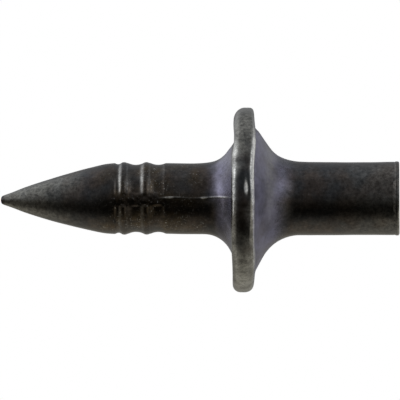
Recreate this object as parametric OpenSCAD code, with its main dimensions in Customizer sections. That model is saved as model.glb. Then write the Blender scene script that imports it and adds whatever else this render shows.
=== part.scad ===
// Flanged drive pin, cold-forged from one piece of steel: a blunt ogive point, a shank with
// pressed rings, a thick round collar, a trumpet-shaped shoulder and a plain drive stub.
// The pin stands on the flat end of its stub with its point up. The two halves of the forging
// die met in the plane x = 0, so their parting lines run down the shank at +Y and -Y.

/* [Drive stub] */
// Diameter of the stub that the driving tool holds
stub_d = 4.7; // [4:0.05:5.6]
// Height of the collar's rim above the flat drive end
collar_height = 9.36; // [8:0.02:16]
// Height of the lip left at the drive end where the blank was cut off
lip_h = 0.28; // [0.2:0.02:1]
// How far that lip stands proud of the stub
lip_flare = 0.03; // [0.01:0.01:0.15]
// Rounding of the edge of the drive end
lip_round = 0.12; // [0.04:0.01:0.18]

/* [Shoulder] */
// Diameter at which the shoulder meets the collar
shoulder_d = 9.3; // [8:0.1:10.6]
// Angle between the shoulder's flank and the axis
shoulder_angle = 61; // [45:1:70]
// Radius of the hollow that leads from the shoulder into the stub
shoulder_hollow = 2.7; // [1:0.05:3]

/* [Collar] */
// Outer diameter of the collar
collar_d = 11.9; // [11.4:0.1:16]
// Thickness of the collar at its rim
collar_t = 1.3; // [1:0.05:2.5]
// How far the collar's face on that side slopes away from the drive end, from shoulder to rim
collar_slope = 0.08; // [0.02:0.01:0.2]
// Rounding of the rim on the shoulder's side
drive_round = 0.3; // [0.1:0.02:0.45]
// Rounding of the rim on the side that bears on the work
bearing_round = 0.45; // [0.1:0.02:0.5]

/* [Shank] */
// Diameter of the plain shank
shank_d = 4.5; // [3.8:0.05:5.2]
// Length from the collar's bearing face to the base of the point
shank_len = 8.25; // [7.5:0.05:20]
// Radius of the fillet between the shank and the bearing face
shank_fillet = 1.93; // [0.8:0.01:2.6]

/* [Rings] */
// Number of rings pressed into the shank
ring_count = 2; // [1:1:3]
// Distance between one ring and the next
ring_pitch = 1.43; // [1.3:0.01:2]
// Distance from the base of the point to the crest of the first ring
ring_start = 1.25; // [0.9:0.01:2]
// Height of a ring's ridge above the shank
ridge_h = 0.06; // [0.02:0.01:0.15]
// Rounding of a ridge's crest
ridge_round = 0.38; // [0.25:0.01:0.5]
// Depth of the groove behind each ridge
groove_depth = 0.11; // [0.04:0.01:0.2]
// Radius of that groove's round bottom
groove_round = 1.1; // [0.6:0.05:1.5]
// Distance from a ridge's crest to the bottom of its groove
groove_offset = 0.75; // [0.6:0.01:0.9]
// Distance from the base of the point to the narrow nick ahead of the rings
nick_start = 0.87; // [0.5:0.01:0.9]
// Depth of the nick
nick_depth = 0.07; // [0.02:0.01:0.12]
// Radius of the nick's round bottom
nick_round = 0.3; // [0.15:0.01:0.4]

/* [Point] */
// Length of the point
point_len = 6.69; // [5:0.05:9]
// How far the base of the point lies inside the line of the shank's side
point_step = 0.05; // [0.01:0.01:0.2]
// How far the side of the point bulges out from a straight cone
point_bulge = 0.13; // [0.03:0.01:0.4]
// Diameter of the blunt end
tip_d = 0.54; // [0.3:0.02:1.2]
// Height of the shallow dome on the blunt end
tip_dome_h = 0.09; // [0.04:0.01:0.14]

/* [Parting line] */
// Width of the strip between the die halves where no ring is pressed
strip_w = 0.76; // [0.4:0.02:1.4]
// Width of the thin flash left on the shank and its fillet
flash_w = 0.1; // [0.06:0.01:0.2]
// Height of that flash above the surface
flash_h = 0.05; // [0.02:0.01:0.1]

/* [Hidden] */

steel_colour = [0.2, 0.19, 0.2];
// Facets of a full circle, and of the long shallow arc of the point's side
$fn = 96;
point_facets = 720;
// How far a cutter reaches past the surface that it cuts
cut_over = 0.1;

stub_r = stub_d / 2;
shoulder_r = shoulder_d / 2;
collar_r = collar_d / 2;
shank_r = shank_d / 2;
point_r = shank_r - point_step;
tip_r = tip_d / 2;
lip_r = stub_r + lip_flare;

// Heights above the drive end
shoulder_z = collar_height - collar_slope;
face_z = collar_height + collar_t;
point_z = face_z + shank_len;
tip_z = point_z + point_len;
nick_z = point_z - nick_start;
ring_z = [for (i = [0 : ring_count - 1]) point_z - ring_start - i * ring_pitch];
last_groove_z = ring_z[ring_count - 1] - groove_offset;
// The shank is straight up to here, between the first ring's crest and its groove
taper_z = ring_z[0] - groove_offset / 2;

// Where the hollow's arc touches the stub, and the shoulder's flank
flank_foot_z = shoulder_z - (shoulder_r - stub_r) / tan(shoulder_angle);
hollow_reach = shoulder_hollow * tan(shoulder_angle / 2);
hollow_z = flank_foot_z - hollow_reach;
hollow_top = [
    stub_r + hollow_reach * sin(shoulder_angle),
    flank_foot_z + hollow_reach * cos(shoulder_angle)
];

// The point's side is an arc from its base to the edge of the blunt end
point_base = [point_r, point_z];
tip_edge = [tip_r, tip_z - tip_dome_h];
chord = tip_edge - point_base;
chord_len = norm(chord);
chord_normal = [chord[1], -chord[0]] / chord_len;
side_r = (chord_len * chord_len / 4 + point_bulge * point_bulge) / (2 * point_bulge);
side_centre = (point_base + tip_edge) / 2 - (side_r - point_bulge) * chord_normal;
dome_r = (tip_r * tip_r + tip_dome_h * tip_dome_h) / (2 * tip_dome_h);

// All outlines are half sections: x is the distance from the axis, y the height

module lip_outline() {
    square([lip_r - lip_round, lip_h]);
    translate([0, lip_round]) square([lip_r, lip_h - lip_round]);
    translate([lip_r - lip_round, lip_round]) circle(lip_round);
}

module shoulder_outline() {
    translate([0, lip_round]) square([stub_r, shoulder_z - lip_round]);
    polygon([[0, flank_foot_z], [stub_r, flank_foot_z], [shoulder_r, shoulder_z], [0, shoulder_z]]);
    difference() {
        polygon([[0, hollow_z], [stub_r + shoulder_hollow, hollow_z], hollow_top, [0, hollow_top[1]]]);
        translate([stub_r + shoulder_hollow, hollow_z]) circle(shoulder_hollow);
    }
}

module collar_outline() {
    polygon([
        [0, shoulder_z],
        [shoulder_r, shoulder_z],
        [collar_r - drive_round, collar_height],
        [collar_r, collar_height + drive_round],
        [collar_r, face_z - bearing_round],
        [collar_r - bearing_round, face_z],
        [0, face_z]
    ]);
    translate([collar_r - drive_round, collar_height + drive_round]) circle(drive_round);
    translate([collar_r - bearing_round, face_z - bearing_round]) circle(bearing_round);
}

// The shank and its fillet, grown outwards by a given amount, up to a given height
module shank_outline(grow, top_z) {
    translate([0, face_z]) square([shank_r + grow, top_z - face_z]);
    difference() {
        translate([0, face_z - collar_t / 2])
            square([shank_r + shank_fillet, collar_t / 2 + shank_fillet]);
        translate([shank_r + shank_fillet, face_z + shank_fillet]) circle(shank_fillet - grow);
    }
}

// From there on it tapers slightly, to the base of the point
module taper_outline() {
    polygon([[0, taper_z], [shank_r, taper_z], point_base, [0, point_z]]);
}

module point_outline() {
    intersection() {
        translate([0, point_z]) square([shank_d, point_len]);
        translate(side_centre) circle(side_r, $fn = point_facets);
        union() {
            translate([0, point_z]) square([shank_d, point_len - tip_dome_h]);
            translate([0, tip_z - dome_r]) circle(dome_r);
        }
    }
}

module ridge_outlines() {
    for (z = ring_z)
        translate([shank_r + ridge_h - ridge_round, z]) circle(ridge_round);
}

// One round-bottomed cut, kept to the skin of the shank
module cut_outline(z, depth, bottom_r) {
    intersection() {
        translate([shank_r - depth + bottom_r, z]) circle(bottom_r);
        translate([0, z - bottom_r]) square([shank_r + ridge_h + cut_over, 2 * bottom_r]);
    }
}

// What the two die halves press, which ends at the strip between them
module pressed() {
    difference() {
        rotate_extrude() children();
        translate([-strip_w / 2, -collar_d, 0]) cube([strip_w, 2 * collar_d, tip_z]);
    }
}

// A thin upright rib on the +Y side, where metal crept between the die halves
module flash() {
    rotate([90, 0, 90])
        linear_extrude(flash_w, center = true)
            intersection() {
                shank_outline(flash_h, last_groove_z);
                translate([shank_r / 2, face_z - cut_over]) square([collar_r, shank_len]);
            }
}

module drive_pin() {
    color(steel_colour)
        difference() {
            union() {
                rotate_extrude() {
                    lip_outline();
                    shoulder_outline();
                    collar_outline();
                    shank_outline(0, taper_z);
                    taper_outline();
                    point_outline();
                }
                pressed() ridge_outlines();
                flash();
                mirror([0, 1, 0]) flash();
            }
            pressed() {
                for (z = ring_z)
                    cut_outline(z - groove_offset, groove_depth, groove_round);
            }
            pressed() cut_outline(nick_z, nick_depth, nick_round);
        }
}

drive_pin();
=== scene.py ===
import math

import bpy
import numpy as np
from mathutils import Matrix, Vector


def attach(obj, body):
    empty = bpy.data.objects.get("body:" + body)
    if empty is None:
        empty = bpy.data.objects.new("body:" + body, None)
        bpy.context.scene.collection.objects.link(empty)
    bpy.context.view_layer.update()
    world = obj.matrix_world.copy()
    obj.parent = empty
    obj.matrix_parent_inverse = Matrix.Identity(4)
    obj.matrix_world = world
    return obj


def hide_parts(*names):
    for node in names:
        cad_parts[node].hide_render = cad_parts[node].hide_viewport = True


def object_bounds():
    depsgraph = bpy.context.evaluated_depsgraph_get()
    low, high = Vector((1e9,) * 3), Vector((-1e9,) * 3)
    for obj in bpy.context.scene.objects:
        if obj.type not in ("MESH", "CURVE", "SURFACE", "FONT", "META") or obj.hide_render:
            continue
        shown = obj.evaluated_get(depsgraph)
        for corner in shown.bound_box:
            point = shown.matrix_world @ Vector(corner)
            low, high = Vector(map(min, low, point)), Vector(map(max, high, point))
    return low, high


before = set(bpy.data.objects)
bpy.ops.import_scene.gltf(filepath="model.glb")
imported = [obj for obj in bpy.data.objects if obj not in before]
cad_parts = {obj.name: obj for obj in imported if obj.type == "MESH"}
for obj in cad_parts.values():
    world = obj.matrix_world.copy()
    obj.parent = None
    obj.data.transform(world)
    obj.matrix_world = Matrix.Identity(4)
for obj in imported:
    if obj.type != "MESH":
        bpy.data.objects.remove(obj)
cad_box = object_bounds()

MM = 0.001

# Sizes of the pin, in millimetres, as in its construction
STUB_R = 2.35
LIP_FLARE = 0.03
LIP_H = 0.28
LIP_ROUND = 0.12
COLLAR_HEIGHT = 9.36
COLLAR_SLOPE = 0.08
SHOULDER_R = 4.65
SHOULDER_ANGLE = 61
SHOULDER_HOLLOW = 2.7
COLLAR_R = 5.95
COLLAR_T = 1.3
DRIVE_ROUND = 0.3
BEARING_ROUND = 0.45
SHANK_R = 2.25
SHANK_LEN = 8.25
SHANK_FILLET = 1.93
RING_COUNT = 2
RING_PITCH = 1.43
RING_START = 1.25
RIDGE_H = 0.06
RIDGE_ROUND = 0.38
GROOVE_DEPTH = 0.11
GROOVE_ROUND = 1.1
GROOVE_OFFSET = 0.75
NICK_START = 0.87
NICK_DEPTH = 0.07
NICK_ROUND = 0.3
POINT_LEN = 6.69
POINT_STEP = 0.05
POINT_BULGE = 0.13
TIP_R = 0.27
TIP_DOME_H = 0.09
STRIP_W = 0.76
FLASH_W = 0.1
FLASH_H = 0.05

# Heights above the drive end
SHOULDER_Z = COLLAR_HEIGHT - COLLAR_SLOPE
FACE_Z = COLLAR_HEIGHT + COLLAR_T
POINT_Z = FACE_Z + SHANK_LEN
TIP_Z = POINT_Z + POINT_LEN
NICK_Z = POINT_Z - NICK_START
NICK_TOP_Z = NICK_Z + NICK_ROUND
RING_Z = [POINT_Z - RING_START - i * RING_PITCH for i in range(RING_COUNT)]
LAST_GROOVE_Z = RING_Z[-1] - GROOVE_OFFSET

# Where the shank's fillet meets the collar's face, from the axis
FILLET_R = SHANK_R + SHANK_FILLET

# Rows of points along each stretch of the outline, from the drive end to the tip
ROWS = {
    "end": 9,
    "lip_corner": 7,
    "lip": 5,
    "cut_line": 7,
    "stub": 52,
    "hollow": 44,
    "flank": 14,
    "drive_face": 12,
    "drive_corner": 9,
    "rim": 12,
    "bearing_corner": 12,
    "bearing_face": 12,
    "fillet": 40,
    "shank": 22,
    "rings": 92,
    "taper": 8,
    "point": 56,
    "dome": 7,
}
COLUMNS = 232
# How far the columns are drawn towards the parting lines at most, in radians
COLUMN_CROWDING = 0.3
# How many times the corners are softened, before and after the forging's marks are made
SOFTEN_FORM = 2
SOFTEN_SKIN = 1
# The first row's distance from the axis, and where the last one lies on the dome, in degrees
FIRST_ROW_R = 0.15
LAST_ROW_DEG = 88
SEED = 7


def smoothstep(x, low, high):
    """Goes smoothly from 0 at low to 1 at high; high may be the smaller number."""
    t = np.clip((x - low) / (high - low), 0, 1)
    return t * t * (3 - 2 * t)


def bell(x, centre, width):
    return np.exp(-((x - centre) / width) ** 2)


def between(x, rise, fall):
    """Fades in over the first span and out over the second."""
    return smoothstep(x, *rise) * (1 - smoothstep(x, *fall))


def level(x, base, ramps=(), bumps=()):
    """A base, with ramps (from, to, rise) and bumps (middle, half width, height) along x."""
    rises = sum(rise * smoothstep(x, start, end) for start, end, rise in ramps)
    return base + rises + sum(height * bell(x, centre, width) for centre, width, height in bumps)


WAVE_COUNT = 24
WAVE_SPREAD = (0.7, 1.5)


class Waves:
    """Smooth noise in space: a sum of plane waves with random directions, mostly -1 to 1."""

    def __init__(self, rng, wavelength):
        direction = rng.normal(size=(WAVE_COUNT, 3))
        direction /= np.linalg.norm(direction, axis=1)[:, None]
        length = wavelength * rng.uniform(*WAVE_SPREAD, size=(WAVE_COUNT, 1))
        self.k = 2 * np.pi * direction / length
        self.phase = rng.uniform(0, 2 * np.pi, size=WAVE_COUNT)
        self.gain = 1 / math.sqrt(WAVE_COUNT)

    def __call__(self, x, y, z):
        total = np.zeros_like(x)
        for k, phase in zip(self.k, self.phase):
            total += np.sin(k[0] * x + k[1] * y + k[2] * z + phase)
        return total * self.gain


def line(start, end, rows):
    t = np.linspace(0, 1, rows, endpoint=False)[:, None]
    return start[0] * (1 - t) + end[0] * t, start[1] * (1 - t) + end[1] * t


def arc(centre, radius, first_deg, last_deg, rows):
    angle = np.radians(np.linspace(first_deg, last_deg, rows, endpoint=False))[:, None]
    return centre[0] + radius * np.cos(angle), centre[1] + radius * np.sin(angle)


def worn_corner(centre, radius, flatness, rows):
    """A quarter round that is worn towards a straight chamfer."""
    angle = np.radians(np.linspace(-90, 0, rows, endpoint=False))[:, None]
    share = np.linspace(0, 1, rows, endpoint=False)[:, None]
    out = (1 - flatness) * np.cos(angle) + flatness * share
    up = (1 - flatness) * np.sin(angle) + flatness * (share - 1)
    return centre[0] + radius * out, centre[1] + radius * up


def hollow_and_flank():
    """The shoulder's hollow, tangent to the stub, and the flank that it leads into."""
    slant = math.radians(SHOULDER_ANGLE)
    foot_z = SHOULDER_Z - (SHOULDER_R - STUB_R) / math.tan(slant)
    reach = SHOULDER_HOLLOW * math.tan(slant / 2)
    hollow_z = foot_z - reach
    flank_start = (STUB_R + reach * math.sin(slant), foot_z + reach * math.cos(slant))
    centre = (STUB_R + SHOULDER_HOLLOW, hollow_z)
    return hollow_z, [
        arc(centre, SHOULDER_HOLLOW, 180, 180 - SHOULDER_ANGLE, ROWS["hollow"]),
        line(flank_start, (SHOULDER_R, SHOULDER_Z), ROWS["flank"]),
    ]


def point_side():
    """The long shallow arc of the point's side, from its base to the blunt end."""
    base = np.array([SHANK_R - POINT_STEP, POINT_Z])
    edge = np.array([TIP_R, TIP_Z - TIP_DOME_H])
    chord = edge - base
    half = np.linalg.norm(chord) / 2
    normal = np.array([chord[1], -chord[0]]) / (2 * half)
    radius = (half * half + POINT_BULGE * POINT_BULGE) / (2 * POINT_BULGE)
    centre = (base + edge) / 2 - (radius - POINT_BULGE) * normal
    angles = [math.degrees(math.atan2(p[1] - centre[1], p[0] - centre[0])) for p in (base, edge)]
    return arc(centre, radius, angles[0], angles[1], ROWS["point"])


def tip_dome():
    radius = (TIP_R * TIP_R + TIP_DOME_H * TIP_DOME_H) / (2 * TIP_DOME_H)
    edge_deg = math.degrees(math.acos(TIP_R / radius))
    return arc((0, TIP_Z - radius), radius, edge_deg, LAST_ROW_DEG, ROWS["dome"])


# How the roundings of the rim differ from the plain form's, in millimetres
BEARING_ROUND_MORE = 0.3
DRIVE_ROUND_LESS = 0.08
DRIVE_ROUND_MORE = 0.33

# The line left above the lip where the blank was cut off
CUT_LINE_DEPTH = 0.035
CUT_LINE_W = 0.035
CUT_LINE_TOP_Z = LIP_H + 3 * CUT_LINE_W

# The stretch of the shank that the dies press starts a little below the last groove
PRESSED_Z = LAST_GROOVE_Z - 0.6


def outline(theta):
    """The half section at every angle: arrays of radius and height, one row per outline point."""
    toward_x = np.cos(theta)[None, :]
    bearing_round = BEARING_ROUND + BEARING_ROUND_MORE * np.clip(toward_x, 0, 1) ** 4
    drive_round = DRIVE_ROUND - DRIVE_ROUND_LESS + DRIVE_ROUND_MORE * np.clip(-toward_x, 0, 1) ** 2
    flatness = 1 - toward_x ** 2
    lip_r = STUB_R + LIP_FLARE
    lip_corner = (lip_r - LIP_ROUND, LIP_ROUND)
    drive_corner = (COLLAR_R - drive_round, COLLAR_HEIGHT + drive_round)
    bearing_corner = (COLLAR_R - bearing_round, FACE_Z - bearing_round)
    fillet_top = FACE_Z + SHANK_FILLET
    hollow_z, shoulder = hollow_and_flank()
    stretches = [
        line((FIRST_ROW_R, 0), (lip_corner[0], 0), ROWS["end"]),
        arc(lip_corner, LIP_ROUND, -90, 0, ROWS["lip_corner"]),
        line((lip_r, LIP_ROUND), (lip_r, LIP_H), ROWS["lip"]),
        line((STUB_R, LIP_H), (STUB_R, CUT_LINE_TOP_Z), ROWS["cut_line"]),
        line((STUB_R, CUT_LINE_TOP_Z), (STUB_R, hollow_z), ROWS["stub"]),
        *shoulder,
        line((SHOULDER_R, SHOULDER_Z), (drive_corner[0], COLLAR_HEIGHT), ROWS["drive_face"]),
        worn_corner(drive_corner, drive_round, flatness, ROWS["drive_corner"]),
        line((COLLAR_R, drive_corner[1]), (COLLAR_R, bearing_corner[1]), ROWS["rim"]),
        arc(bearing_corner, bearing_round, 0, 90, ROWS["bearing_corner"]),
        line((bearing_corner[0], FACE_Z), (FILLET_R, FACE_Z), ROWS["bearing_face"]),
        arc((FILLET_R, fillet_top), SHANK_FILLET, 270, 180, ROWS["fillet"]),
        line((SHANK_R, fillet_top), (SHANK_R, PRESSED_Z), ROWS["shank"]),
        line((SHANK_R, PRESSED_Z), (SHANK_R, NICK_TOP_Z), ROWS["rings"]),
        line((SHANK_R, NICK_TOP_Z), (SHANK_R - POINT_STEP, POINT_Z), ROWS["taper"]),
        point_side(),
        tip_dome(),
    ]
    r = np.vstack([s[0] + np.zeros_like(toward_x) for s in stretches])
    z = np.vstack([s[1] + np.zeros_like(toward_x) for s in stretches])
    return r, z


def soften(rows, passes):
    """Rounds the outline's corners a little, row by row, as forging does."""
    for _ in range(passes):
        rows[1:-1] = (rows[:-2] + 2 * rows[1:-1] + rows[2:]) / 4
    return rows


# What the forging adds to the plain form, in millimetres. A name in _AT is the middle and half
# width of a mark, and one in _IN or _OUT is where a mark fades in or out: heights above the
# drive end, distances from the axis (_R) or places along x (_X). Lists of ramps and bumps along x
# are as level() takes them.
PRESSED_IN = (PRESSED_Z, LAST_GROOVE_Z - 0.5)
STRIP_EDGE_X = (STRIP_W / 2 - 0.14, STRIP_W / 2 + 0.16)
STRIP_LUMP = 0.012
STRIP_SINK = 0.0036
SHANK_BOW = 0.08
SHANK_BOW_AT = (16.8, 3.4)
FULLNESS = 0.022
FULLNESS_IN = (11.8, 13.2)
FULLNESS_OUT = (24.6, 25.3)
SHOULDER_SWELL = 0.24
SHOULDER_SWELL_AT = (SHOULDER_Z - 0.62, 0.52)
SHOULDER_SWELL_OUT = (SHOULDER_Z - 0.28, SHOULDER_Z)
HOLLOW_SWELL = 0.065
HOLLOW_SWELLS_AT = [(SHOULDER_Z - 2.1, 1.0), (FACE_Z + 1.6, 0.6)]

# The flash is torn off apart from some burrs: their heights on the pin, half lengths and shares
BURRS = [
    (14.75, 0.3, 0.9),
    (14.2, 0.2, 0.5),
    (12.45, 0.22, 1.3),
    (11.95, 0.15, 0.5),
    (11.3, 0.4, 0.6),
]
BURR_GAIN = 1.2
# Their ripple: its height, its pace along the pin, and how far and how fast that pace drifts
BURR_RIPPLE = 0.4
BURR_RIPPLE_PACE = 29
BURR_DRIFT = 3
BURR_DRIFT_PACE = 11
FLASH_LEFT = 0.2
# The line along which the flash stands, and how far and how fast it wanders off it
FLASH_LINE_X = 0.1
FLASH_WANDER = 0.03
FLASH_WANDER_PACE = 2.3
FLASH_IN = (FACE_Z - 0.01, FACE_Z + 0.05)
FLASH_OUT = (15.2, 15.6)

STUB_WAIST = 0.012
STUB_WAIST_AT = (2.4, 1.8)
# Points of the stub beyond this distance from the axis are on its side, not on its end
STUB_SIDE_R = STUB_R - 0.1
CUT_LINE_BREAKS = 0.4
TIP_NECK = 0.03
TIP_NECK_AT = (TIP_Z - 0.85, 0.45)

COLLAR_BEND_IN_R = (3.6, 5.4)
COLLAR_SPAN = (SHOULDER_Z - 0.02, FACE_Z + 0.05)
BEARING_SIDE_IN = (COLLAR_HEIGHT + 0.2, FACE_Z - 0.2)
RIM_SHIFT = 0.06
RIM_WEDGE = 0.03
RIM_SPREAD = 0.02
RIM_STEP_RAMPS = [(2.6, 3.7, 0.14), (-3.0, -4.0, 0.0182), (4.0, 5.0, -0.1)]
RIM_STEP_OUT = (FACE_Z + 0.03, FACE_Z + 0.35)
RIM_BELLY = 0.17
RIM_BULGE_BUMPS = [(3.9, 1.2, 0.13), (-3.7, 0.8, 0.0845)]
RIM_LUMP = 0.018
RIM_LUMP_IN_R = (5.0, 5.9)
# How much the lumps are drawn out across the rim
RIM_LUMP_STRETCH = 0.5

SKIN_LUMP = 0.006
SKIN_LUMP_IN_R = (0.3, 1.5)
SKIN_LUMP_MIDDLE = 0.5
# The drive end stays flat up to this height
FLAT_END_Z = 0.05
# Wavelengths of the slow, the middle and the fine unevenness
WAVELENGTHS = (4.0, 1.2, 0.35)

# A deep nick in the collar's rim: its place, depth, half length and half width
RIM_NICK = (0.66, -5.88, 9.70)
RIM_NICK_DEPTH = 0.13
RIM_NICK_LEN = 0.26
RIM_NICK_W = 0.068
RIM_NICK_SLANT = 0.02
# How much longer it is on the side towards +X
RIM_NICK_TAIL = 0.7

DENTS = 360
DENT_SIZE = (0.05, 0.16)
# The depth of a dent, as a share of its size
DENT_SHARE = (0.05, 0.13)
DENTED_RIM_R = COLLAR_R - 0.3
DENTED_SIDE = (0.4, TIP_Z - 0.6)


def ringed_radius(z):
    """The shank's radius where the dies press it: ridges first, then the cuts between them."""
    radius = np.full_like(z, SHANK_R)
    for crest in RING_Z:
        span = np.maximum(RIDGE_ROUND ** 2 - (z - crest) ** 2, 0)
        radius = np.maximum(radius, SHANK_R + RIDGE_H - RIDGE_ROUND + np.sqrt(span))
    cuts = [(crest - GROOVE_OFFSET, GROOVE_DEPTH, GROOVE_ROUND) for crest in RING_Z]
    for bottom, depth, bend in [*cuts, (NICK_Z, NICK_DEPTH, NICK_ROUND)]:
        away = np.abs(z - bottom)
        wall = SHANK_R - depth + bend - np.sqrt(np.maximum(bend ** 2 - away ** 2, 0))
        radius = np.where(away < bend, np.minimum(radius, wall), radius)
    return radius


def press_rings(r, x, y, z, fine):
    """Presses the rings all round, apart from a rough plain strip along each parting line."""
    pressed = smoothstep(z, *PRESSED_IN) * (z < NICK_TOP_Z)
    strip = 1 - smoothstep(np.abs(x), *STRIP_EDGE_X)
    r = r + pressed * (ringed_radius(z) - SHANK_R) * (1 - strip)
    return r + pressed * strip * (STRIP_LUMP * fine(x, y, z) - STRIP_SINK)


def swell(r, z, toward_x):
    """Bows the shank, fills the dies out, and makes shoulder and hollows fuller towards +X."""
    r = r + SHANK_BOW * toward_x * bell(z, *SHANK_BOW_AT)
    r = r + FULLNESS * between(z, FULLNESS_IN, FULLNESS_OUT)
    shoulder = bell(z, *SHOULDER_SWELL_AT) * (1 - smoothstep(z, *SHOULDER_SWELL_OUT))
    hollows = sum(bell(z, *place) for place in HOLLOW_SWELLS_AT)
    return r + np.clip(toward_x, 0, 1) * (SHOULDER_SWELL * shoulder + HOLLOW_SWELL * hollows)


def flash_share(x, z):
    """How much of the flash's full height is left at each point: a few burrs along one line."""
    line_x = FLASH_LINE_X + FLASH_WANDER * np.sin(FLASH_WANDER_PACE * z)
    burrs = sum(share * bell(z, centre, half) for centre, half, share in BURRS)
    ripple = np.sin(BURR_RIPPLE_PACE * z + BURR_DRIFT * np.sin(BURR_DRIFT_PACE * z))
    burrs = burrs * (1 + BURR_RIPPLE * ripple)
    span = between(z, FLASH_IN, FLASH_OUT)
    return (FLASH_LEFT + BURR_GAIN * burrs) * span * bell(x, line_x, FLASH_W / 2)


def mark_ends(r, x, y, z, fine):
    """Waists the stub, cuts the broken line above its lip, and necks the tip."""
    r = r - STUB_WAIST * bell(z, *STUB_WAIST_AT) * (z < SHOULDER_Z) * (r > STUB_SIDE_R)
    broken = 1 - CUT_LINE_BREAKS + CUT_LINE_BREAKS * fine(x, y, np.zeros_like(z))
    cut_line = bell(z, LIP_H + CUT_LINE_W, CUT_LINE_W) * (r > STUB_SIDE_R)
    r = r - CUT_LINE_DEPTH * broken * cut_line
    return r - TIP_NECK * bell(z, *TIP_NECK_AT)


def rim_bulge(x, y):
    """How far the rim bulges towards the drive end, on the -Y side only."""
    belly = RIM_BELLY * np.clip(-y / COLLAR_R, 0, 1) ** 2
    return belly + level(x, 0, bumps=RIM_BULGE_BUMPS) * (y < 0)


def bend_collar(r, z, x, y, toward_x, slow, middle):
    """Shifts, tilts, steps and bulges the collar's rim, and makes it lumpy."""
    on_collar = (z > COLLAR_SPAN[0]) & (z < COLLAR_SPAN[1])
    bend = smoothstep(r, *COLLAR_BEND_IN_R) * on_collar
    bearing_side = smoothstep(z, *BEARING_SIDE_IN)
    z = z + (RIM_SPREAD - RIM_WEDGE * toward_x) * bend * bearing_side
    step = level(x, 0, ramps=RIM_STEP_RAMPS)
    z = z - step * bearing_side * (1 - smoothstep(z, *RIM_STEP_OUT))
    z = z - rim_bulge(x, y) * bend * (1 - bearing_side)
    r = r - RIM_SHIFT * toward_x * bend
    lumps = middle(x, y, z * RIM_LUMP_STRETCH) * smoothstep(r, *RIM_LUMP_IN_R)
    r = r + RIM_LUMP * (lumps - bend)
    z = z + RIM_LUMP * slow(x, y, z) * bend
    return r, z


def forge(r, z, theta, rng):
    """Presses the rings, leaves the parting lines, and makes the skin as uneven as a forging's."""
    toward_x = np.cos(theta)[None, :]
    x = r * toward_x
    y = r * np.sin(theta)[None, :]
    slow, middle, fine = (Waves(rng, wavelength) for wavelength in WAVELENGTHS)
    r = press_rings(r, x, y, z, fine)
    r = swell(r, z, toward_x)
    r = r + FLASH_H * flash_share(x, z) * (r < FILLET_R)
    r = mark_ends(r, x, y, z, fine)
    r, z = bend_collar(r, z, x, y, toward_x, slow, middle)
    skin = slow(x, y, z) + SKIN_LUMP_MIDDLE * middle(x, y, z)
    return r + SKIN_LUMP * skin * smoothstep(r, *SKIN_LUMP_IN_R) * (z > FLAT_END_Z), z


def rim_nick(x, y, z):
    half_len = RIM_NICK_LEN * (1 + RIM_NICK_TAIL * (x > RIM_NICK[0]))
    along = ((x - RIM_NICK[0]) / half_len) ** 2 + (y - RIM_NICK[1]) ** 2
    middle = RIM_NICK[2] + RIM_NICK_SLANT * (x - RIM_NICK[0])
    return np.exp(-along - ((z - middle) / RIM_NICK_W) ** 2)


def dent(r, z, theta, rng):
    """Small shallow dents from the barrel that pins are tumbled in, thickest on the collar's rim."""
    x = r * np.cos(theta)[None, :]
    y = r * np.sin(theta)[None, :]
    rim_rows = np.flatnonzero(r[:, 0] > DENTED_RIM_R)
    side_rows = np.flatnonzero((z[:, 0] > DENTED_SIDE[0]) & (z[:, 0] < DENTED_SIDE[1]))
    depth = np.zeros_like(r)
    for k in range(DENTS):
        row = rng.choice(rim_rows if k % 2 else side_rows)
        turn = rng.integers(0, COLUMNS)
        spot = (x[row, turn], y[row, turn], z[row, turn])
        size = rng.uniform(*DENT_SIZE)
        away = (x - spot[0]) ** 2 + (y - spot[1]) ** 2 + (z - spot[2]) ** 2
        depth += rng.uniform(*DENT_SHARE) * size * np.exp(-away / size ** 2)
    return r - depth * (z > FLAT_END_Z) - RIM_NICK_DEPTH * rim_nick(x, y, z)


def ring_quads(rows, columns):
    """The faces between rows of points, each row closed into a ring."""
    i, j = np.meshgrid(np.arange(rows - 1), np.arange(columns), indexing="ij")
    here, turned = i * columns + j, i * columns + (j + 1) % columns
    quads = np.stack([here, turned, turned + columns, here + columns], axis=-1)
    return quads.reshape(-1, 4).tolist()


def lathe_mesh(name, r, z, theta):
    """Closes rows of rings with a point at each end, as one mesh in metres."""
    rows, columns = r.shape
    co = np.stack([r * np.cos(theta), r * np.sin(theta), z], axis=-1).reshape(-1, 3)
    poles = [[0, 0, z[0].mean()], [0, 0, TIP_Z]]
    co = np.vstack([co, poles]) * MM
    first, last = rows * columns, rows * columns + 1
    top = (rows - 1) * columns
    caps = [(first, (k + 1) % columns, k) for k in range(columns)]
    caps += [(last, top + k, top + (k + 1) % columns) for k in range(columns)]
    mesh = bpy.data.meshes.new(name)
    mesh.from_pydata(co.tolist(), [], ring_quads(rows, columns) + caps)
    mesh.shade_smooth()
    mesh.update()
    return mesh


def keep_on_mesh(mesh, name, values):
    layer = mesh.attributes.new(name, "FLOAT", "POINT")
    layer.data.foreach_set("value", values.ravel().astype(np.float32))


# Where the coat's zones lie and how strong they are. The names' endings mean the same as above.
# The side towards +X is uppermost in the photograph.
UPPER_IN_X = (-0.5, 0.7)
FILLET_IN = (FACE_Z - 0.02, FACE_Z + 0.1)
FILLET_OUT = (11.5, 12.5)
# On the fillet the violet is kept mostly to the upper side, as a painted sheen there
LOWER_FILLET = 0.7
LOWER_FILLET_OUT = (11.4, 12.0)
INNER_FILLET_OUT = (10.9, 11.5)
SHOULDER_IN = (7.0, 8.3)
# How much nearer to the drive end the shoulder's zone starts on the upper side
UPPER_SHOULDER_DOWN = (0.5, 0.2)
SHOULDER_END_Z = SHOULDER_Z + 0.02
BROWN_IN = (12.0, 13.2)
BROWN_OUT = (17.8, 20.0)
# More brown over the whole lower side, as a painted shade
LOWER_BROWN_SHADE = 0.3
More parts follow.
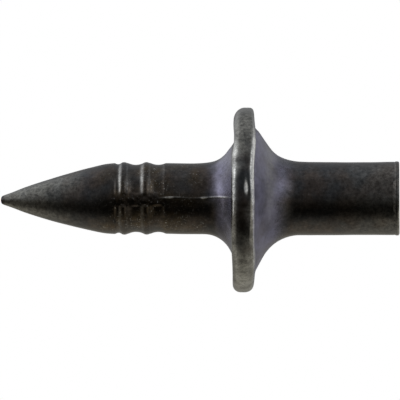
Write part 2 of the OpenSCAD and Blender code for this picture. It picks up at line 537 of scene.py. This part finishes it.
# Uneven zones: their mean, and how much the noise adds or takes
VIOLET_UNEVEN = (0.85, 0.2)
BROWN_UNEVEN = (0.6, 0.4)
EDGES_UNEVEN = (0.8, 0.25)
PATCH_WAVELENGTH = 1.6
BREAK_WAVELENGTH = 0.9

# Grey: a painted sheen on the rim's ends, painted highlights on the point's top and the hollow
RIM_SHEEN_IN_R = (COLLAR_R - 0.75, COLLAR_R - 0.3)
RIM_SHEEN_IN_X = (1.8, 4.2)
RIM_SHEEN_BREAKS = 0.5
GREY_TIP_IN = (20.0, 24.5)
GREY_TIP_OUT = (TIP_Z - 0.35, TIP_Z - 0.15)
POINT_HIGHLIGHT_IN = (19.9, 20.9)
POINT_HIGHLIGHT_OUT = (22.5, 24)
POINT_HIGHLIGHT_IN_X = (0, 0.9)
STUB_END_OUT = (0, 5.5)
HOLLOW_HIGHLIGHT_AT = (8.25, 0.35)
HOLLOW_HIGHLIGHT_RAMPS = [(-2.2, -0.5, 1), (0.6, 1.6, 0.6)]
GREY_SHARES = {"rim": 1, "tip": 0.8, "point_highlight": 0.3, "stub_end": 0.33, "hollow": 0.4}

# Painted shade along the strip and below on the fillet's end
STRIP_SHADE_AT_X = (-0.12, 0.3)
STRIP_SHADE_IN = (12.2, 13.2)
STRIP_SHADE_OUT = (18.9, 19.6)
LOWER_FILLET_SHADE = 0.9
LOWER_FILLET_SHADE_IN_X = (-0.7, -1.4)
LOWER_FILLET_SHADE_AT = (12.0, 0.75)
MATT_SHARES = {"fillet": 0.3, "inner_fillet": 0.5, "shoulder": 1, "nick": 1}

# Bare steel on the rings' flanks, also a painted highlight: the place, half width and share of each,
# from the ring's crest
RING_FLANK_HIGHLIGHTS = [(0.24, 0.09, 1), (-0.24, 0.06, 0.3)]
RING_FLANK_HIGHLIGHT_LEVEL = (0.25, [(*UPPER_IN_X, 0.4), (0.5, 1.3, 0.35)])
OFF_STRIP_X = (STRIP_W / 2 - 0.05, STRIP_W / 2 + 0.05)
# Wear on the rim's two edges, which is also a painted highlight, stronger on the upper side: the
# height of each band, its half widths below and above that height, and its strength, which is
# the product of its levels
DRIVE_CORNER_IN_R = (COLLAR_R - 0.45, COLLAR_R - 0.25)
DRIVE_EDGE_Z = (COLLAR_HEIGHT + 0.07, [(-2.4, -3.4, -0.04)])
DRIVE_BAND_BELOW = (0.12, [(0.4, -1.0, -0.05)], [(2.2, 0.9, 0.04)])
DRIVE_BAND_ABOVE = (0.12, [(0.4, -1.0, 0.28)], [(2.2, 0.9, 0.04)])
DRIVE_BAND_LEVELS = [
    (1, [(0.6, 1.5, 1)]),
    (1, [(3.3, 4.7, -0.95), (-4.0, -5.2, -0.4)]),
    (0.6, [(-2.6, 1.6, 0.4)]),
]
BEARING_CORNER_IN_R = (COLLAR_R - 0.6, COLLAR_R - 0.3)
BEARING_EDGE_Z = FACE_Z - 0.12
BEARING_BAND_BELOW = (0.2, [(-0.9, -1.6, 0.13)], [(2.5, 0.8, 0.2)])
BEARING_BAND_ABOVE = (0.2, [], [(2.9, 0.8, 0.1)])
BEARING_BAND_LEVELS = [
    (1, [(3.2, 4.1, -0.9), (-3.2, -4.4, -0.6)]),
    (0.8, [(1.6, 2.6, 0.3)], [(0.9, 0.6, -0.15)]),
]
# Painted sheen at the two ends of the rim as the camera sees it, and a painted highlight on the
# lip's lower side
UPPER_RIM_SHEEN_IN_X = (5.3, 5.8)
LOWER_RIM_SHEEN_IN_X = (-4.6, -5.4)
LOWER_RIM_SHEEN_LESS = 0.7
LOWER_RIM_SHEEN_LESS_IN = (9.8, 10.6)
LIP_HIGHLIGHT_OUT = (0.03, 0.16)
LIP_HIGHLIGHT_OUT_X = (-1.2, -0.2)
FLASH_WEAR_OUT_R = (FILLET_R - 0.3, FILLET_R)
FLASH_WEAR = 0.6
# The nick's bare steel, also made matt, stands as a painted glint
NICK_GLINT_GAIN = 2
EDGE_SHARES = {
    "flank_highlights": 0.5,
    "drive_edge": 1.2,
    "bearing_edge": 1.15,
    "lip": 0.8,
    "rim_end_sheen": 0.45,
}
WEAR_AND_HIGHLIGHT_MOST = 1.5


def uneven(mean_and_gain, noise):
    """A strength that noise makes larger in places and smaller in others."""
    return mean_and_gain[0] + mean_and_gain[1] * noise


def weighed(shares, zones):
    """The sum of the zones, each times its share."""
    return sum(shares[name] * zone for name, zone in zones.items())


def grey_and_sheen_zone(x, z, rim):
    """Greyer coat on the tip and the stub's end, a painted sheen on the rim's ends,
    and painted highlights on the point's upper side and in the shoulder's hollow.
    """
    point_highlight = between(z, POINT_HIGHLIGHT_IN, POINT_HIGHLIGHT_OUT) * smoothstep(x, *POINT_HIGHLIGHT_IN_X)
    zones = {
        "rim": rim,
        "tip": between(z, GREY_TIP_IN, GREY_TIP_OUT),
        "point_highlight": point_highlight,
        "stub_end": 1 - smoothstep(z, *STUB_END_OUT),
        "hollow": bell(z, *HOLLOW_HIGHLIGHT_AT) * level(x, 0, ramps=HOLLOW_HIGHLIGHT_RAMPS),
    }
    return np.clip(weighed(GREY_SHARES, zones), 0, 1)


def painted_shade_zone(x, z):
    """Painted shade: along the strip, and below on the fillet's end."""
    along_strip = bell(x, *STRIP_SHADE_AT_X) * between(z, STRIP_SHADE_IN, STRIP_SHADE_OUT)
    return along_strip + LOWER_FILLET_SHADE * smoothstep(x, *LOWER_FILLET_SHADE_IN_X) * bell(z, *LOWER_FILLET_SHADE_AT)


def wear_and_highlight_band(x, z, edge_z, below, above, levels):
    """A band along an edge at a height, with a half width and a strength that vary along x."""
    half_width = np.where(z > edge_z, level(x, *above), level(x, *below))
    return bell(z, edge_z, half_width) * math.prod(level(x, *part) for part in levels)


def wear_and_highlight_edges(r, x, y, z, rim):
    """Where bare steel shows: worn on the rim's two edges, and painted highlights there, on the
    rings' flanks and on the lip's lower side, with a painted sheen on the rim's ends.
    """
    # Bare steel on the rings' flanks, also a painted highlight, stronger on the upper side
    flank_highlights = sum(
        share * bell(z, crest + up, half) for crest in RING_Z for up, half, share in RING_FLANK_HIGHLIGHTS
    )
    off_strip = smoothstep(np.abs(x), *OFF_STRIP_X)
    drive_edge_z = level(x, *DRIVE_EDGE_Z) - rim_bulge(x, y)
    drive_band = wear_and_highlight_band(
        x, z, drive_edge_z, DRIVE_BAND_BELOW, DRIVE_BAND_ABOVE, DRIVE_BAND_LEVELS
    )
    bearing_band = wear_and_highlight_band(
        x, z, BEARING_EDGE_Z, BEARING_BAND_BELOW, BEARING_BAND_ABOVE, BEARING_BAND_LEVELS
    )
    # Painted sheen at the rim's lower end, less towards the bearing face
    lower_sheen = smoothstep(x, *LOWER_RIM_SHEEN_IN_X)
    lower_sheen = lower_sheen * (1 - LOWER_RIM_SHEEN_LESS * smoothstep(z, *LOWER_RIM_SHEEN_LESS_IN))
    zones = {
        "flank_highlights": flank_highlights * off_strip * level(x, *RING_FLANK_HIGHLIGHT_LEVEL),
        "drive_edge": smoothstep(r, *DRIVE_CORNER_IN_R) * drive_band,
        "bearing_edge": smoothstep(r, *BEARING_CORNER_IN_R) * bearing_band,
        # Painted highlight on the lip's lower side
        "lip": (1 - smoothstep(z, *LIP_HIGHLIGHT_OUT)) * (1 - smoothstep(x, *LIP_HIGHLIGHT_OUT_X)),
        "rim_end_sheen": rim * (smoothstep(x, *UPPER_RIM_SHEEN_IN_X) + lower_sheen),
    }
    return weighed(EDGE_SHARES, zones)


def masks(r, z, theta, rng):
    """Where the coat is violet, brown or grey, where bare steel shows, and where light and shade are
    painted on: a sheen on the fillet, highlights, glints and painted shade.
    """
    x = r * np.cos(theta)[None, :]
    y = r * np.sin(theta)[None, :]
    patches = Waves(rng, PATCH_WAVELENGTH)
    breaks = Waves(rng, BREAK_WAVELENGTH)

    upper = smoothstep(x, *UPPER_IN_X)
    # The violet oxide on the fillet: mostly on the upper side, where it is also a painted sheen
    lower_fillet = LOWER_FILLET * (1 - smoothstep(z, *LOWER_FILLET_OUT))
    fillet = between(z, FILLET_IN, FILLET_OUT) * np.maximum(upper, lower_fillet)
    shoulder_in = [place - down * upper for place, down in zip(SHOULDER_IN, UPPER_SHOULDER_DOWN)]
    shoulder = smoothstep(z, *shoulder_in) * (z < SHOULDER_END_Z)
    violet = (fillet + shoulder) * uneven(VIOLET_UNEVEN, patches(x, y, z))
    brown = between(z, BROWN_IN, BROWN_OUT) * uneven(BROWN_UNEVEN, patches(y, z, x))

    # The rim's upper and lower ends, where grey and bare steel are a painted sheen
    rim = smoothstep(r, *RIM_SHEEN_IN_R)
    rim = rim * smoothstep(np.abs(x) + RIM_SHEEN_BREAKS * breaks(x, y, z), *RIM_SHEEN_IN_X)
    # Bare steel in the nick, as a painted glint
    nick = np.clip(NICK_GLINT_GAIN * rim_nick(x, y, z), 0, 1)
    edges = wear_and_highlight_edges(r, x, y, z, rim) * uneven(EDGES_UNEVEN, breaks(x, y, z))
    flash = flash_share(x, z) * (1 - smoothstep(r, *FLASH_WEAR_OUT_R))
    matt_zones = {
        "fillet": fillet,
        "inner_fillet": fillet * (1 - smoothstep(z, *INNER_FILLET_OUT)),
        "shoulder": shoulder,
        "nick": nick,
    }
    return {
        "violet": np.clip(violet, 0, 1),
        "matt": np.clip(weighed(MATT_SHARES, matt_zones), 0, 1),
        # Brown tint, with more on the lower side as painted shade
        "brown": np.clip(brown + LOWER_BROWN_SHADE * (1 - upper), 0, 1),
        "grey": grey_and_sheen_zone(x, z, rim),
        # Bare steel: wear, and painted highlights, sheens and glints
        "wear_and_highlights": np.clip(edges + FLASH_WEAR * flash + nick, 0, WEAR_AND_HIGHLIGHT_MOST),
        # Painted shade along the strip and under the fillet's end
        "painted_shade": painted_shade_zone(x, z),
    }


def make_pin():
    rng = np.random.default_rng(SEED)
    turn = np.linspace(0, 2 * np.pi, COLUMNS, endpoint=False)
    theta = turn + COLUMN_CROWDING * np.sin(2 * turn)
    r, z = outline(theta)
    r, z = soften(r, SOFTEN_FORM), soften(z, SOFTEN_FORM)
    r, z = forge(r, z, theta, rng)
    r = dent(r, z, theta, rng)
    r = soften(r, SOFTEN_SKIN)
    mesh = lathe_mesh("forged_pin", r, z, theta)
    for name, values in masks(r, z, theta, rng).items():
        # The mesh's two end points take the mean of their rows
        ends = [values[0].mean(), values[-1].mean()]
        keep_on_mesh(mesh, name, np.concatenate([values.ravel(), ends]))
    pin = bpy.data.objects.new("forged_pin", mesh)
    bpy.context.scene.collection.objects.link(pin)
    return pin


class Graph:
    """Short calls that add shader nodes to one tree and join them."""

    def __init__(self, owner):
        owner.use_nodes = True
        self.tree = owner.node_tree
        self.tree.nodes.clear()

    def add(self, kind, inputs=None, **settings):
        node = self.tree.nodes.new(kind)
        for name, value in settings.items():
            setattr(node, name, value)
        for key, value in (inputs or {}).items():
            self.put(node.inputs[key], value)
        return node

    def put(self, socket, value):
        if isinstance(value, bpy.types.NodeSocket):
            self.tree.links.new(value, socket)
        else:
            socket.default_value = value

    def mix(self, share, low, high, blend="MIX"):
        node = self.add("ShaderNodeMix", data_type="RGBA", blend_type=blend)
        self.put(node.inputs["Factor"], share)
        for name, value in (("A", low), ("B", high)):
            socket = next(s for s in node.inputs if s.name == name and s.type == "RGBA")
            self.put(socket, value)
        return next(s for s in node.outputs if s.type == "RGBA")

    def math(self, operation, first, second):
        node = self.add("ShaderNodeMath", operation=operation)
        self.put(node.inputs[0], first)
        self.put(node.inputs[1], second)
        return node.outputs[0]

    def remap(self, value, low, high, to_low, to_high):
        node = self.add("ShaderNodeMapRange")
        for key, number in (
            ("Value", value),
            ("From Min", low),
            ("From Max", high),
            ("To Min", to_low),
            ("To Max", to_high),
        ):
            self.put(node.inputs[key], number)
        return node.outputs["Result"]

    def noise(self, where, scale, detail, rough):
        node = self.add(
            "ShaderNodeTexNoise",
            {"Vector": where, "Scale": scale, "Detail": detail, "Roughness": rough},
        )
        return node.outputs["Fac"]

    def mask(self, name):
        return self.add("ShaderNodeAttribute", attribute_name=name).outputs["Fac"]


COOL = (0.045, 0.047, 0.051, 1)
WARM = (0.058, 0.049, 0.045, 1)
# VIOLET: oxide tint in the hollows, on the fillet's upper side also a painted sheen
VIOLET = (0.138, 0.134, 0.188, 1)
# BROWN: a brown tint, on the lower side also a painted shade
BROWN = (0.052, 0.040, 0.027, 1)
# GREY: greyer coat, and also a painted sheen and painted highlights
GREY = (0.160, 0.158, 0.145, 1)
# BARE_AND_HIGHLIGHT: bare steel, and also painted highlights, sheens and glints
BARE_AND_HIGHLIGHT = (0.64, 0.64, 0.62, 1)

# Each noise of the coat: its scale per millimetre, its detail and its roughness
NOISES = {
    "clouds": (0.6, 3, 0.55),
    "blotches": (1.9, 4, 0.6),
    "mottle": (5, 4, 0.65),
    "grain": (8, 3, 0.7),
}
# How a noise or a mask acts: from which value to which, and what it gives at each of them
CLOUDS_WARM = (0.42, 0.6, 0, 1)
MOTTLE_SHADE = (0.25, 0.75, 0.6, 1.4)
BLOTCH_SHADE = (0.3, 0.7, 0.7, 1.3)
# How far the painted shade darkens the coat
PAINTED_SHADE_DARKENING = (0, 1, 1, 0.5)
MATT_SHADE = (0, 1, 1, 0.4)
GRAIN_FLECKS = (0.6, 0.68, 0, 0.42)
BROWN_FLECKS = (0.3, 1, 0.12, 1)
GRAIN_BARE_AND_HIGHLIGHT = (0.38, 0.6, 0.4, 1)
MOTTLE_ROUGH = (0.3, 0.7, 0.17, 0.25)
MATT_METALLIC = (0, 1, 1, 0.3)
MATT_SPECULAR = (0, 1, 0.5, 0.2)
# Each tint over the coat: the mask and the noise that it follows, how the noise acts, its colour
TINTS = [
    ("brown", "blotches", (0.3, 0.6, 0.4, 1), BROWN),
    ("violet", "blotches", (0.3, 0.5, 0.75, 1), VIOLET),
    ("grey", "mottle", (0.3, 0.55, 0.35, 1), GREY),
]
MATT_ROUGHER = 0.1
GREY_ROUGHER = 0.05
BUMP_MOTTLE = 0.6
BUMP_GRAIN = 0.4
BUMP_STRENGTH = 0.3
BUMP_DISTANCE = 0.02 * MM


def coat_colour(g, noises):
    """The coat's colour: its tints, its light and dark patches, its painted shade, and the bare
    steel with its painted highlights.
    """
    colour = g.mix(g.remap(noises["clouds"], *CLOUDS_WARM), COOL, WARM)
    for name, noise, action, tint in TINTS:
        share = g.math("MULTIPLY", g.mask(name), g.remap(noises[noise], *action))
        colour = g.mix(share, colour, tint)
    mottled = g.remap(noises["mottle"], *MOTTLE_SHADE)
    shade = g.math("MULTIPLY", mottled, g.remap(noises["blotches"], *BLOTCH_SHADE))
    # Painted shade darkens the coat along the strip and under the fillet's end
    shade = g.math("MULTIPLY", shade, g.remap(g.mask("painted_shade"), *PAINTED_SHADE_DARKENING))
    channels = {"Red": shade, "Green": shade, "Blue": shade}
    tone = g.add("ShaderNodeCombineColor", channels).outputs[0]
    colour = g.mix(g.remap(g.mask("matt"), *MATT_SHADE), colour, tone, "MULTIPLY")
    flecks = g.remap(noises["grain"], *GRAIN_FLECKS)
    flecks = g.math("MULTIPLY", flecks, g.remap(g.mask("brown"), *BROWN_FLECKS))
    # Bare steel, also standing for painted highlights, sheens and glints
    worn = g.math("MULTIPLY", g.mask("wear_and_highlights"), g.remap(noises["grain"], *GRAIN_BARE_AND_HIGHLIGHT))
    return g.mix(g.math("MAXIMUM", worn, flecks), colour, BARE_AND_HIGHLIGHT)


def blackened_steel():
    """Dark oxide and oil on forged steel, with coordinates in millimetres."""
    material = bpy.data.materials.new("blackened_steel")
    g = Graph(material)
    place = g.add("ShaderNodeTexCoord").outputs["Object"]
    to_mm = (1 / MM, 1 / MM, 1 / MM)
    mm = g.add("ShaderNodeMapping", {"Vector": place, "Scale": to_mm}).outputs[0]
    noises = {name: g.noise(mm, *setting) for name, setting in NOISES.items()}

    rough = g.remap(noises["mottle"], *MOTTLE_ROUGH)
    rough = g.math("ADD", rough, g.math("MULTIPLY", g.mask("matt"), MATT_ROUGHER))
    rough = g.math("ADD", rough, g.math("MULTIPLY", g.mask("grey"), GREY_ROUGHER))
    height = g.math("MULTIPLY", noises["mottle"], BUMP_MOTTLE)
    height = g.math("ADD", height, g.math("MULTIPLY", noises["grain"], BUMP_GRAIN))
    bump = g.add(
        "ShaderNodeBump",
        {"Strength": BUMP_STRENGTH, "Distance": BUMP_DISTANCE, "Height": height},
    )
    shader = g.add(
        "ShaderNodeBsdfPrincipled",
        {
            "Base Color": coat_colour(g, noises),
            "Metallic": g.remap(g.mask("matt"), *MATT_METALLIC),
            "Roughness": rough,
            "Specular IOR Level": g.remap(g.mask("matt"), *MATT_SPECULAR),
            "Normal": bump.outputs[0],
        },
    )
    g.add("ShaderNodeOutputMaterial", {"Surface": shader.outputs[0]})
    return material


FLOOR_R = 0.04
FLOOR_CORNERS = 128
FLOOR_COLOUR = (0.9, 0.9, 0.9, 1)


def pale_matt():
    material = bpy.data.materials.new("floor")
    g = Graph(material)
    shader = g.add("ShaderNodeBsdfDiffuse", {"Color": FLOOR_COLOUR})
    g.add("ShaderNodeOutputMaterial", {"Surface": shader.outputs[0]})
    return material


def make_floor():
    turns = [2 * math.pi * k / FLOOR_CORNERS for k in range(FLOOR_CORNERS)]
    rim = [(FLOOR_R * math.cos(turn), FLOOR_R * math.sin(turn), 0) for turn in turns]
    mesh = bpy.data.meshes.new("floor")
    mesh.from_pydata(rim, [], [list(range(FLOOR_CORNERS))])
    mesh.materials.append(pale_matt())
    floor = bpy.data.objects.new("floor", mesh)
    floor.visible_glossy = False
    bpy.context.scene.collection.objects.link(floor)


# The light tent is a tube round the pin, in metres, with its points every few degrees
TENT_R = 0.3
TENT_REACH = 2.0
TENT_STEP_DEG = 4
TENT_CLIMB_DEG = 80
# Brightness round the pin's axis, in degrees from the camera's side towards +X: beside the pin,
# towards its point and towards its drive end
BESIDE = [
    (-180, 0.3), (-140, 0.4), (-112, 0.72), (-84, 0.58), (-64, 0.21), (-52, 0.08),
    (-36, 0.03), (-20, 0.07), (-4, 0.18), (10, 0.28), (24, 0.33), (40, 0.35),
    (60, 0.46), (84, 0.72), (112, 0.72), (140, 0.4), (180, 0.2),
]
AT_POINT = [
    (-180, 0.3), (-90, 0.3), (-20, 0.2), (0, 0.35), (30, 0.75), (60, 1.3),
    (110, 1.3), (150, 0.9), (180, 0.5),
]
AT_DRIVE = [
    (-180, 0.4), (-110, 0.4), (-60, 0.3), (-18, 0.5), (0, 0.6), (18, 0.9),
    (38, 1.5), (58, 1.3), (80, 0.6), (110, 0.5), (140, 0.8), (180, 0.5),
]
# Where the part towards the point and the part towards the drive end begin, in degrees along the
# axis, and how much sooner the first begins overhead
AT_POINT_IN_DEG = (26, 46)
AT_POINT_SOONER_DEG = (16, 20)
AT_DRIVE_IN_DEG = (12, 34)
OVERHEAD_IN_DEG = (50, 120)
# A brighter patch towards the point: its brightness, and its place and half width along the axis
# and round it, in degrees
PATCH_GAIN = 2.0
PATCH_ALONG_DEG = (64, 8)
PATCH_ROUND_DEG = (55, 28)
# The cloth is warm below the pin and cool above it, by its height along x as a share of TENT_R
COOL_IN = (-0.5, 0.3)
COOL_CLOTH = (0.96, 0.98, 1.0, 1)
WARM_CLOTH = (1.0, 0.96, 0.84, 1)


def tent_brightness(round_deg, along_deg):
    beside, at_point, at_drive = (
        np.interp(round_deg, *zip(*places)) for places in (BESIDE, AT_POINT, AT_DRIVE)
    )
    overhead = smoothstep(round_deg, *OVERHEAD_IN_DEG)
    point_in = [
        place - sooner * overhead for place, sooner in zip(AT_POINT_IN_DEG, AT_POINT_SOONER_DEG)
    ]
    to_point = smoothstep(along_deg, *point_in)
    to_drive = smoothstep(-along_deg, *AT_DRIVE_IN_DEG)
    brightness = beside * (1 - to_point - to_drive) + at_point * to_point + at_drive * to_drive
    patch = bell(along_deg, *PATCH_ALONG_DEG) * bell(round_deg, *PATCH_ROUND_DEG)
    return brightness + PATCH_GAIN * patch


def tent_cloth():
    """Shines as bright and as warm as the tent's own points say."""
    material = bpy.data.materials.new("tent")
    g = Graph(material)
    cloth = g.mix(g.mask("warmth"), COOL_CLOTH, WARM_CLOTH)
    shader = g.add("ShaderNodeEmission", {"Color": cloth, "Strength": g.mask("brightness")})
    g.add("ShaderNodeOutputMaterial", {"Surface": shader.outputs[0]})
    return material


def make_tent(middle):
    """A light tent round the pin, seen only in its reflections, open at both ends."""
    round_deg = np.arange(-180, 180, TENT_STEP_DEG)
    along_deg = np.arange(-TENT_CLIMB_DEG, TENT_CLIMB_DEG + 1, TENT_STEP_DEG)
    reach = np.clip(TENT_R * np.tan(np.radians(along_deg)), -TENT_REACH, TENT_REACH)
    co = [
        (TENT_R * math.sin(a), -TENT_R * math.cos(a), middle.z + z)
        for z in reach for a in np.radians(round_deg)
    ]
    mesh = bpy.data.meshes.new("tent")
    mesh.from_pydata(co, [], ring_quads(len(along_deg), len(round_deg)))

    round_deg, along_deg = np.meshgrid(round_deg, along_deg)
    keep_on_mesh(mesh, "brightness", tent_brightness(round_deg, along_deg))
    keep_on_mesh(mesh, "warmth", 1 - smoothstep(np.sin(np.radians(round_deg)), *COOL_IN))
    mesh.materials.append(tent_cloth())

    tent = bpy.data.objects.new("tent", mesh)
    tent.visible_camera = False
    tent.visible_diffuse = False
    tent.visible_shadow = False
    bpy.context.scene.collection.objects.link(tent)


# Each softbox: where it stands from the pin's middle and its side, in metres, and its brightness
SOFTBOXES = {
    "upper_left": ((0.16, -0.14, 0.20), 0.16, 2.2),
    "above": ((0.26, 0.06, 0.02), 0.22, 1.2),
    "below": ((-0.22, 0.04, 0.08), 0.18, 0.4),
    "behind": ((0.02, 0.28, 0.12), 0.20, 0.8),
}


def make_softboxes(middle):
    for name, (offset, side, brightness) in SOFTBOXES.items():
        data = bpy.data.lights.new(name, "AREA")
        data.shape = "SQUARE"
        data.size = side
        data.energy = brightness * math.pi * side * side
        lamp = bpy.data.objects.new(name, data)
        lamp.location = middle + Vector(offset)
        lamp.rotation_mode = "QUATERNION"
        lamp.rotation_quaternion = (-Vector(offset)).to_track_quat("-Z", "Y")
        lamp.visible_glossy = False
        bpy.context.scene.collection.objects.link(lamp)


AMBIENT = 0.75
WHITE = (1, 1, 1, 1)


def make_world():
    """White behind the pin and in its reflections, and soft ambient light on matt surfaces."""
    world = bpy.data.worlds.new("studio")
    g = Graph(world)
    path = g.add("ShaderNodeLightPath")
    seen = g.math("MAXIMUM", path.outputs["Is Camera Ray"], path.outputs["Is Glossy Ray"])
    seen = g.math("MAXIMUM", seen, path.outputs["Is Transmission Ray"])
    room = g.add("ShaderNodeBackground", {"Color": WHITE, "Strength": AMBIENT})
    white = g.add("ShaderNodeBackground", {"Color": WHITE, "Strength": 1.0})
    choices = {0: seen, 1: room.outputs[0], 2: white.outputs[0]}
    both = g.add("ShaderNodeMixShader", choices)
    g.add("ShaderNodeOutputWorld", {"Surface": both.outputs[0]})
    bpy.context.scene.world = world


# What the photograph's frame spans across the pin, the height that is at its middle, how far
# the pin's axis lies above the frame's middle, how far the pin's point dips in the picture, and
# how far the drive end is turned towards the camera, which is level with the floor
FRAME_SPAN = 25.67 * MM
FRAME_MIDDLE_Z = 12.80 * MM
AXIS_ABOVE_MIDDLE = 0.05 * MM
DIP = math.radians(0.25)
TURN = math.radians(1.6)
CAMERA_DISTANCE = FRAME_MIDDLE_Z / math.sin(TURN)
SENSOR_WIDTH = 36


def make_camera():
    data = bpy.data.cameras.new("camera")
    data.sensor_width = SENSOR_WIDTH
    data.lens = SENSOR_WIDTH * CAMERA_DISTANCE / FRAME_SPAN
    data.clip_start = 0.01
    data.clip_end = 10
    back = Vector((0, -math.cos(TURN), -math.sin(TURN)))
    level_right = Vector((0, math.sin(TURN), -math.cos(TURN)))
    level_up = Vector((1, 0, 0))
    up = math.cos(DIP) * level_up + math.sin(DIP) * level_right
    right = math.cos(DIP) * level_right - math.sin(DIP) * level_up
    target = Vector((-AXIS_ABOVE_MIDDLE, 0, FRAME_MIDDLE_Z))
    camera = bpy.data.objects.new("camera", data)
    turned = Matrix((right, up, back)).transposed().to_4x4()
    camera.matrix_world = Matrix.Translation(target + CAMERA_DISTANCE * back) @ turned
    bpy.context.scene.collection.objects.link(camera)
    bpy.context.scene.camera = camera


pin = make_pin()
pin.data.materials.append(blackened_steel())
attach(pin, "root")
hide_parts("drive_pin")

low, high = cad_box
middle = (low + high) / 2
make_floor()
make_tent(middle)
make_softboxes(middle)
make_world()
make_camera()
bpy.context.scene.view_settings.view_transform = "Standard"
